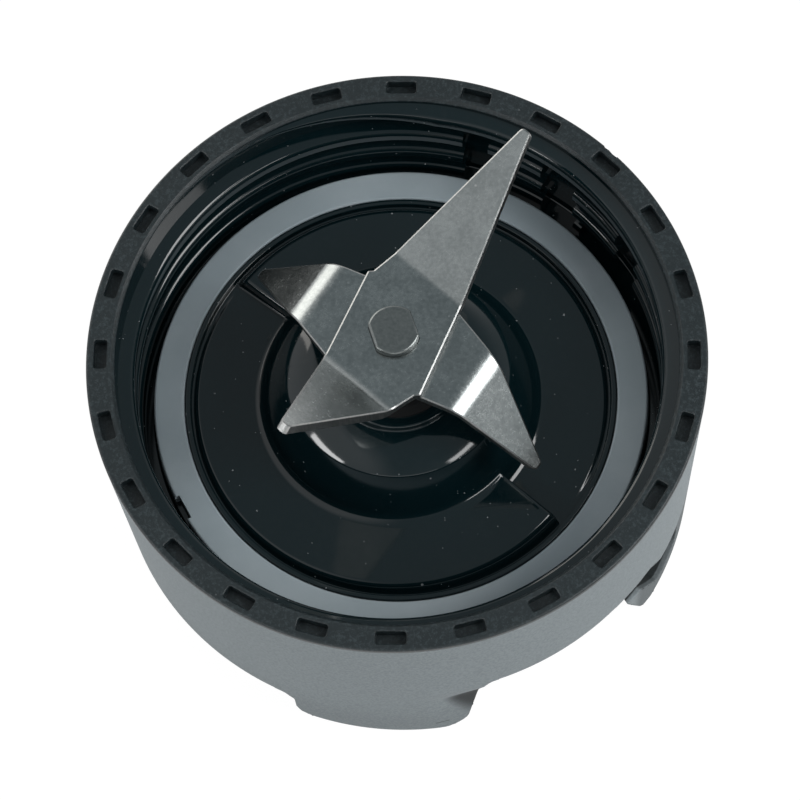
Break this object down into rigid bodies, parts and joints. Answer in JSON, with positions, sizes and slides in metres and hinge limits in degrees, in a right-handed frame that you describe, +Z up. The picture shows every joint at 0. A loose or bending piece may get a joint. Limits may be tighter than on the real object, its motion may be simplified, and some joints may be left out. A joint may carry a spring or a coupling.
{
  "type": "blender blade assembly",
  "caption": "Screw-on blade base of a personal blender: grey sleeve with bayonet lugs, black threaded holder, seal ring and stacked steel blades on a shaft.",
  "frame": {"origin": "on the shaft's axis, at the level of the feet", "axes": "+Z up along the shaft, -Y towards the front lug"},
  "size_m": [0.0952, 0.0952, 0.072],
  "materials": {
    "sleeve_grey": "satin silver-grey coat",
    "holder_black": "moulded black, matte on the rim",
    "seal_grey": "matte silicone",
    "blade_steel": "satin stainless, ground edges",
    "shaft_steel": "turned",
    "bearing_steel": "polished",
    "seal_rubber": "moulded",
    "coupling_black": "moulded"
  },
  "bodies": {
    "base": {"outer_sleeve": "sleeve_grey", "threaded_holder": "holder_black", "seal_ring": "seal_grey", "shaft_seal": "seal_rubber", "upper_outer_race": "bearing_steel", "upper_shields": "bearing_steel", "lower_outer_race": "bearing_steel", "lower_shields": "bearing_steel", "hub_ring": "bearing_steel"},
    "rotor": {"upper_blade": "blade_steel", "lower_blade": "blade_steel", "blade_shaft": "shaft_steel", "blade_spacer": "shaft_steel", "upper_inner_race": "bearing_steel", "bearing_spacer": "bearing_steel", "lower_inner_race": "bearing_steel", "thrust_washer": "bearing_steel", "shaft_ring": "bearing_steel", "drive_coupling": "coupling_black", "coupling_insert": "bearing_steel"},
    "upper_balls": {"upper_ball_set": "bearing_steel", "upper_ball_cage": "bearing_steel"},
    "lower_balls": {"lower_ball_set": "bearing_steel", "lower_ball_cage": "bearing_steel"}
  },
  "joints": [
    {"name": "blade_spin", "type": "hinge", "parent": "base", "child": "rotor", "pos_m": [0, 0, 0.03], "axis": [0, 0, 1], "continuous": true},
    {"name": "upper_ball_roll", "type": "hinge", "parent": "base", "child": "upper_balls", "pos_m": [0, 0, 0.036], "axis": [0, 0, 1], "continuous": true},
    {"name": "lower_ball_roll", "type": "hinge", "parent": "base", "child": "lower_balls", "pos_m": [0, 0, 0.0195], "axis": [0, 0, 1], "continuous": true}
  ],
  "couplings": [
    {"joint": "upper_ball_roll", "follows": "blade_spin", "ratio": 0.4},
    {"joint": "lower_ball_roll", "follows": "blade_spin", "ratio": 0.4}
  ]
}
